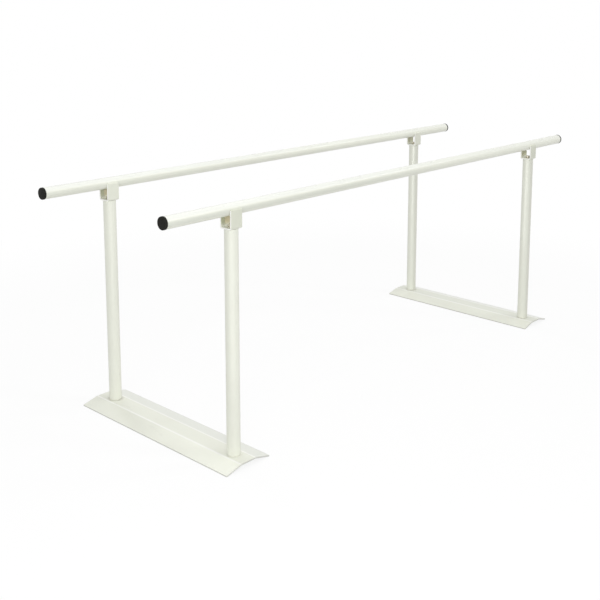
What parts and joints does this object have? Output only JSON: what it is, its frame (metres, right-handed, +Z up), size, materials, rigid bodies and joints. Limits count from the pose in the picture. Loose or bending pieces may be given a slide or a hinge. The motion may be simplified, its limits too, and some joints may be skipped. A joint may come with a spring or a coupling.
{
  "type": "rehab walking parallel bars",
  "caption": "Free-standing therapy bars: round handrails on fixed round posts with U saddles, plastic rail caps and arched sheet floor plates.",
  "frame": {"origin": "on the floor, midway between the four posts", "axes": "+X along the walkway from its front end to its rear end, +Y to the left of someone who walks that way, +Z up"},
  "size_m": [2.2456, 0.73, 0.8004],
  "materials": {
    "ivory_paint": "semi-gloss powder coat",
    "black_plastic": "moulded satin",
    "dark_steel": "dark zinc plate",
    "bare_steel": "turned and oiled"
  },
  "bodies": {
    "root": {"floor_plate_front": "ivory_paint", "post_front_right": "ivory_paint", "foot_plug_front_right": "bare_steel", "top_plug_front_right": "bare_steel", "foot_washer_front_right": "dark_steel", "foot_bolt_front_right": "dark_steel", "saddle_washer_front_right": "dark_steel", "saddle_bolt_front_right": "dark_steel", "rail_saddle_front_right": "ivory_paint", "post_front_left": "ivory_paint", "foot_plug_front_left": "bare_steel", "top_plug_front_left": "bare_steel", "foot_washer_front_left": "dark_steel", "foot_bolt_front_left": "dark_steel", "saddle_washer_front_left": "dark_steel", "saddle_bolt_front_left": "dark_steel", "rail_saddle_front_left": "ivory_paint", "floor_plate_rear": "ivory_paint", "post_rear_right": "ivory_paint", "foot_plug_rear_right": "bare_steel", "top_plug_rear_right": "bare_steel", "foot_washer_rear_right": "dark_steel", "foot_bolt_rear_right": "dark_steel", "saddle_washer_rear_right": "dark_steel", "saddle_bolt_rear_right": "dark_steel", "rail_saddle_rear_right": "ivory_paint", "post_rear_left": "ivory_paint", "foot_plug_rear_left": "bare_steel", "top_plug_rear_left": "bare_steel", "foot_washer_rear_left": "dark_steel", "foot_bolt_rear_left": "dark_steel", "saddle_washer_rear_left": "dark_steel", "saddle_bolt_rear_left": "dark_steel", "rail_saddle_rear_left": "ivory_paint", "rail_right": "ivory_paint", "rail_cap_front_right": "black_plastic", "rail_cap_rear_right": "black_plastic", "rail_left": "ivory_paint", "rail_cap_front_left": "black_plastic", "rail_cap_rear_left": "black_plastic"}
  },
  "joints": []
}
